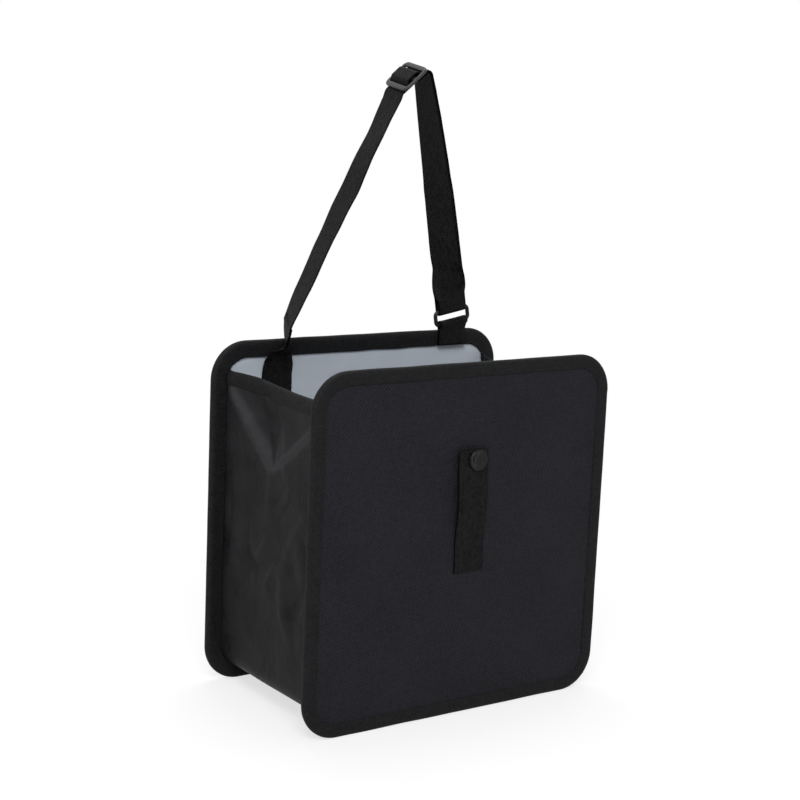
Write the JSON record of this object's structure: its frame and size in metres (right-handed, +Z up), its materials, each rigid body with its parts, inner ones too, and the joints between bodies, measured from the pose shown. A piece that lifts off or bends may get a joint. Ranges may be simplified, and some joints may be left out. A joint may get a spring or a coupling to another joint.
{
  "type": "car trash bin",
  "caption": "Folding cloth litter bin for a car: stiff square front and back panels, soft folding sides and bottom, a snap tab and an adjustable hanging strap.",
  "frame": {"origin": "centre of the footprint at floor level, under the middle of the bin", "axes": "+X to the right seen from the front, +Y from the front panel to the back panel, +Z up"},
  "size_m": [0.25, 0.1458, 0.4477],
  "materials": {
    "board": "matt",
    "cover": "woven, matt",
    "lining": "smooth film",
    "tape": "ribbed tape",
    "gusset": "coated, slight sheen",
    "webbing": "woven webbing",
    "slider": "satin",
    "ring": "black enamel",
    "snap": "black enamel"
  },
  "bodies": {
    "back": {"back_board": "board", "back_cover": "cover", "back_lining": "lining", "back_binding": "tape", "gusset": "gusset", "gusset_lining": "lining", "left_hem": "tape", "right_hem": "tape", "hanging_strap": "webbing", "ring_tab": "webbing"},
    "front": {"front_board": "board", "front_cover": "cover", "front_lining": "lining", "front_binding": "tape", "front_tab": "webbing", "snap_cap": "snap", "snap_socket": "snap", "snap_stud": "snap", "snap_post": "snap"},
    "slider": {"strap_slider": "slider"},
    "ring": {"strap_ring": "ring"}
  },
  "joints": [
    {"name": "front_fold", "type": "slide", "parent": "back", "child": "front", "axis": [0, 1, 0], "range_m": [0, 0.11], "deforming": ["gusset", "gusset_lining", "left_hem", "right_hem"]},
    {"name": "slider_adjust", "type": "hinge", "parent": "back", "child": "slider", "pos_m": [0.23662, 0.0544, 0.25901], "axis": [0, -1, 0], "range_deg": [0, 19.2], "deforming": ["hanging_strap"]},
    {"name": "ring_swing", "type": "hinge", "parent": "back", "child": "ring", "pos_m": [0.0805, 0.06625, 0.256], "axis": [0.9848, 0, 0.1736], "range_deg": [-60, 60], "deforming": ["hanging_strap"]}
  ]
}
